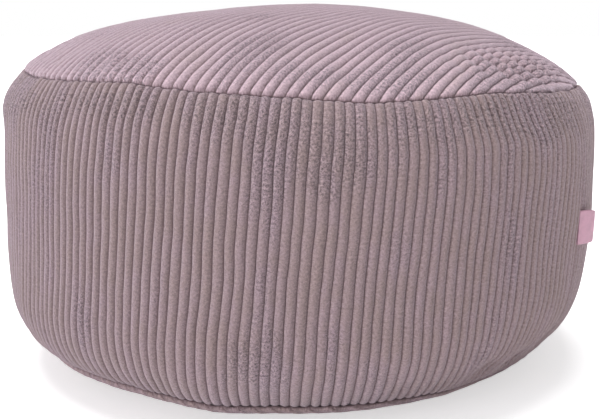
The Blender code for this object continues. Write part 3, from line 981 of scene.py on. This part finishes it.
def baseRelief(share, azimuth, rib):
    places = baseSpot(share, azimuth)
    away = (1 - share) * bag["baseRadius"]
    end = rounded(away, basePanel["endLength"])
    flat = basePanel["flatShare"]
    turnedUp = np.clip((share - flat) / (1 - flat), 0, 1)
    sunk = basePanel["groove"] * (1 - rib * end)
    places[..., 0] -= sunk * turnedUp * np.sin(azimuth)
    places[..., 1] += sunk * turnedUp * np.cos(azimuth)
    places[..., 2] += sunk * np.sqrt(1 - turnedUp ** 2)
    return places, rib * end


def makeRoundPanel(name, panel, relief, material, node):
    mesh = bmesh.new()
    fitDisc(mesh, panel, relief)
    piece = finishPiece(name, mesh, material, node)
    addThickness(piece, panel["clothThickness"])
    return piece


cover = blowUp()
side = makeSidePanel()
print("side panel made", len(side.data.polygons))
top = makeRoundPanel("topPanel", topPanel, topRelief, topCloth, "top_panel")
print("top panel made", len(top.data.polygons))
base = makeRoundPanel("basePanel", basePanel, baseRelief, baseCloth, "base_panel")
print("base panel made", len(base.data.polygons))

# the folded satin label in the closing seam
sideLabel = {
    "tall": 0.0275,
    "raised": 0.0030,                   # from the middle of its solid
    "length": 0.0165,                   # from the seam to its fold
    "swing": math.radians(31),          # how far it stands off the side
    "seated": 0.0004,                   # how deep its root lies in the groove
    "foldRadius": 0.0008,
    "thickness": 0.0006,
    "columns": 44,
    "rows": 22,
    "taper": 0.10,                      # its fold is this much shorter than its root
    "taperPower": 4,                    # the higher, the nearer to the fold it narrows
    "curl": 0.0007,
    "curlWaves": (2.6, 2.4),            # radians of its wave from root to fold, and up its height
    "seamLevel": 0.05,                  # its root meets the seam this share of the side above its foot
    "colour": (0.66, 0.370, 0.475),
    "mottleScale": 120.0,
    "mottleRange": (0.3, 0.7, 0.92, 1.06),
    "weaveScale": 900.0,
    "weaveStretch": (1.0, 0.25, 1.0),
    "weaveBump": (0.4, 0.0002),         # strength and distance
    "roughness": 0.42,
    "sheen": 0.25,
}


def makeSatin():
    material = bpy.data.materials.new("labelSatin")
    material.use_nodes = True
    tree = material.node_tree
    shader = tree.nodes["Principled BSDF"]
    uv = uvNode(tree, "weave")
    mottle = noiseNode(tree, uv, sideLabel["mottleScale"])
    tone = rampNode(tree, mottle, *sideLabel["mottleRange"])
    tree.links.new(scaleColour(tree, sideLabel["colour"], tone), shader.inputs["Base Color"])
    weave = noiseNode(tree, uv, sideLabel["weaveScale"], sideLabel["weaveStretch"], detail=1.0)
    addRelief(tree, shader, weave, *sideLabel["weaveBump"])
    shader.inputs["Roughness"].default_value = sideLabel["roughness"]
    shader.inputs["Sheen Weight"].default_value = sideLabel["sheen"]
    return material


def makeLabel():
    # the CAD label's box gives the height, and the seam gives the rest
    low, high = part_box("side_label")
    middle = (low.z + high.z) / 2 + sideLabel["raised"]
    tall = sideLabel["tall"]
    share = (middle - tall / 2 - bag["baseSeam"]) / bag["sideHeight"]
    level = np.float64(share + sideLabel["seamLevel"])
    azimuth = bag["closing"] + float(waleShift(np.float64(bag["closing"]), level))
    outward = Vector((math.sin(azimuth), -math.cos(azimuth), 0.0))
    roundSide = Vector((math.cos(azimuth), math.sin(azimuth), 0.0))
    swing = sideLabel["swing"]
    reach = roundSide * math.cos(swing) + outward * math.sin(swing)
    across = outward * math.cos(swing) - roundSide * math.sin(swing)
    length = sideLabel["length"]
    radius = sideLabel["foldRadius"]
    straight = length - radius
    path = straight * 2 + math.pi * radius
    mesh = bmesh.new()
    uvLayer = mesh.loops.layers.uv.new("weave")
    columns, rows = sideLabel["columns"], sideLabel["rows"]
    grid = bmesh.ops.create_grid(mesh, x_segments=columns, y_segments=rows, size=0.5)
    seated = outward * sideLabel["seated"]
    topShare = share + tall / bag["sideHeight"]
    root = Vector(sideSpot(np.float64(azimuth), np.float64(share))) - seated
    topRoot = Vector(sideSpot(np.float64(azimuth), np.float64(topShare))) - seated
    upward = topRoot - root
    upward.normalize()
    lengthWave, heightWave = sideLabel["curlWaves"]
    for vertex in grid["verts"]:
        run = (vertex.co.x + 0.5) * path
        upright = vertex.co.y
        for loop in vertex.link_loops:
            loop[uvLayer].uv = (run, (upright + 0.5) * tall)
        if run < straight:
            out, off = run, -radius
        elif run > path - straight:
            out, off = path - run, radius
        else:
            angle = (run - straight) / radius - math.pi / 2
            out, off = straight + radius * math.cos(angle), radius * math.sin(angle)
        narrow = 1 - sideLabel["taper"] * (out / length) ** sideLabel["taperPower"]
        curl = sideLabel["curl"] * math.sin(out / length * lengthWave) * math.cos(upright * heightWave)
        height = (upright * narrow + 0.5) * tall
        vertex.co = root + upward * height + reach * out + across * (off + curl)
    bmesh.ops.recalc_face_normals(mesh, faces=mesh.faces)
    piece = finishPiece("sideLabel", mesh, makeSatin(), "side_label")
    addThickness(piece, sideLabel["thickness"], offset=0)
    return piece


label = makeLabel()
print("label made")

# the camera stands where the photograph was taken from
photo = {
    "width": 600,                       # pixels, like the focal length and the middle of the view
    "focal": 988.3,
    "centre": 297.97,
    "sensor": 36,
    "distance": 0.9013,
    "height": 0.3068,
    "pitch": 0.2048,
}


def addCamera():
    data = bpy.data.cameras.new("photoCamera")
    camera = newObject("photoCamera", data)
    camera.location = (bag["shift"][0], bag["shift"][1] - photo["distance"], photo["height"])
    camera.rotation_euler = (math.pi / 2 - photo["pitch"], 0, 0)
    data.sensor_width = photo["sensor"]
    data.lens = photo["focal"] * photo["sensor"] / photo["width"]
    data.shift_x = (photo["width"] / 2 - photo["centre"]) / photo["width"]
    data.clip_start = 0.02
    bpy.context.scene.camera = camera


# a white studio: a big soft light overhead and a weaker one at the left
studio = {
    "air": (0.98, 0.985, 1.0),
    "airStrength": 0.44,
    "airRight": -0.07,                  # the air is a little darker at the right
    "backdrop": 1.0,                    # how bright the camera sees the air behind the bag
    # name, place, softness in degrees, strength, colour
    "suns": (
        ("overhead", (-0.28, 0.20, 2.0), 35, 2.7, (1.0, 0.99, 1.0)),
        ("left", (-1.8, -1.3, 0.20), 30, 1.42, (0.98, 0.97, 1.05)),
    ),
    "floorGlow": 0.10,                  # what the floor throws on the bag
    "floorSeen": 0.55,                  # how bright the camera sees it
    "floorColour": (0.9, 0.9, 0.9),
    "floorRadius": 9.0,
    "floorDrop": 0.0002,                # the floor lies this far under the bag
}


def addLight(name, place, softness, strength, colour):
    data = bpy.data.lights.new(name, "SUN")
    data.angle = math.radians(softness)
    data.energy = strength
    data.color = colour
    light = newObject(name, data)
    light.location = place
    light.rotation_euler = (-Vector(place)).to_track_quat("-Z", "Y").to_euler()


def addStudio():
    scene = bpy.context.scene
    scene.view_settings.view_transform = "Standard"
    world = bpy.data.worlds.new("studioAir")
    scene.world = world
    world.use_nodes = True
    tree = world.node_tree
    air = tree.nodes["Background"]
    air.inputs["Color"].default_value = (*studio["air"], 1.0)
    way = splitNode(tree, tree.nodes.new("ShaderNodeTexCoord").outputs["Generated"])
    airTone = mathNode(tree, "MULTIPLY_ADD", way["X"], studio["airRight"], studio["airStrength"])
    tree.links.new(airTone, air.inputs["Strength"])
    seen = tree.nodes.new("ShaderNodeBackground")
    seen.inputs["Color"].default_value = (1.0, 1.0, 1.0, 1.0)
    seen.inputs["Strength"].default_value = studio["backdrop"]
    path = tree.nodes.new("ShaderNodeLightPath")
    mix = tree.nodes.new("ShaderNodeMixShader")
    tree.links.new(path.outputs["Is Camera Ray"], mix.inputs["Fac"])
    tree.links.new(air.outputs[0], mix.inputs[1])
    tree.links.new(seen.outputs[0], mix.inputs[2])
    tree.links.new(mix.outputs[0], tree.nodes["World Output"].inputs["Surface"])
    for settings in studio["suns"]:
        addLight(*settings)

    mesh = bmesh.new()
    bmesh.ops.create_circle(mesh, cap_ends=True, segments=96, radius=studio["floorRadius"])
    floor = fromMesh("studioFloor", mesh)
    paint = bpy.data.materials.new("floorPaint")
    paint.use_nodes = True
    coat = paint.node_tree.nodes["Principled BSDF"]
    coat.inputs["Base Color"].default_value = (*studio["floorColour"], 1.0)
    coat.inputs["Roughness"].default_value = 1.0
    coat.inputs["Specular IOR Level"].default_value = 0.0
    coat.inputs["Emission Color"].default_value = (1.0, 1.0, 1.0, 1.0)
    seenFloor = paint.node_tree.nodes.new("ShaderNodeLightPath").outputs["Is Camera Ray"]
    more = studio["floorSeen"] - studio["floorGlow"]
    glow = mathNode(paint.node_tree, "MULTIPLY_ADD", seenFloor, more, studio["floorGlow"])
    paint.node_tree.links.new(glow, coat.inputs["Emission Strength"])
    floor.data.materials.append(paint)
    floor.location.z = -studio["floorDrop"]


addCamera()
addStudio()
print("camera and lights ready")
